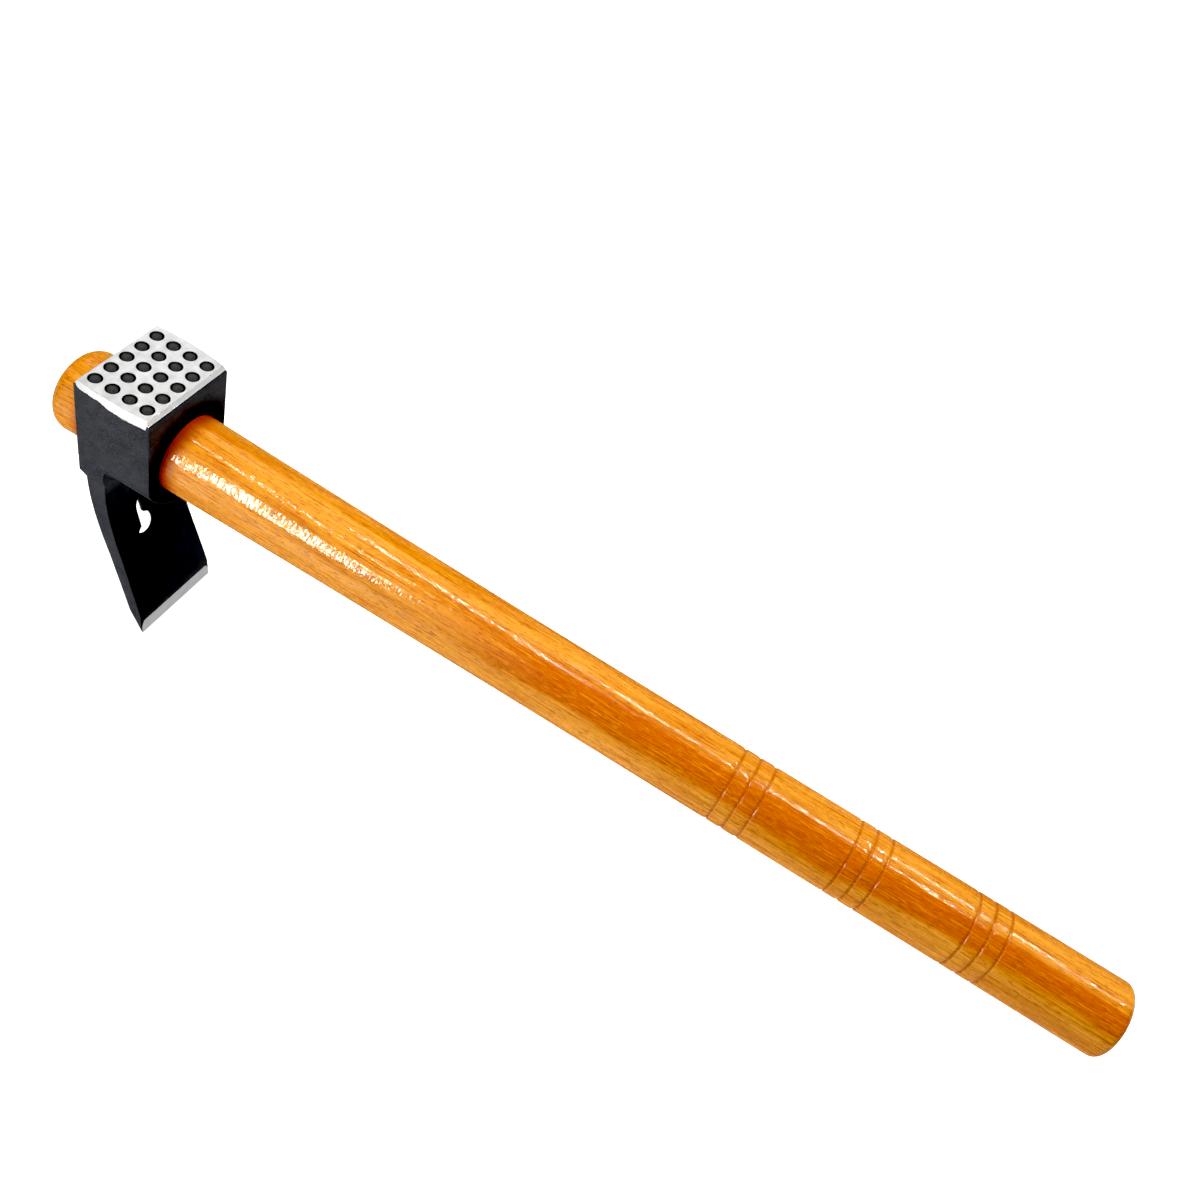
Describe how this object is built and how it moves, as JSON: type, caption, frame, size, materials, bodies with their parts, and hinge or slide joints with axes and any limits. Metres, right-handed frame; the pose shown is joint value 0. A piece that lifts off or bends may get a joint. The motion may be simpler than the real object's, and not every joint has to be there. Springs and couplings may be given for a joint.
{
  "type": "roofing hatchet",
  "caption": "Adze-pattern roofing hatchet: near-square dimpled striking poll, curved cross blade with a keyhole nail puller, and a round tapered wooden handle through the eye.",
  "frame": {"origin": "centre of the striking face, 30 mm above the handle's axis and midway through the head", "axes": "+Z out of the striking face, +X along the handle to the grip end, Y across the blade"},
  "size_m": [0.4475, 0.0454, 0.1288],
  "materials": {
    "forged_steel": "dark charcoal satin paint over a drop forging, with the striking face and the edge bevel ground bare",
    "lacquered_wood": "amber hardwood under a clear gloss lacquer"
  },
  "bodies": {
    "root": {"adze_head": "forged_steel", "handle": "lacquered_wood"}
  },
  "joints": []
}
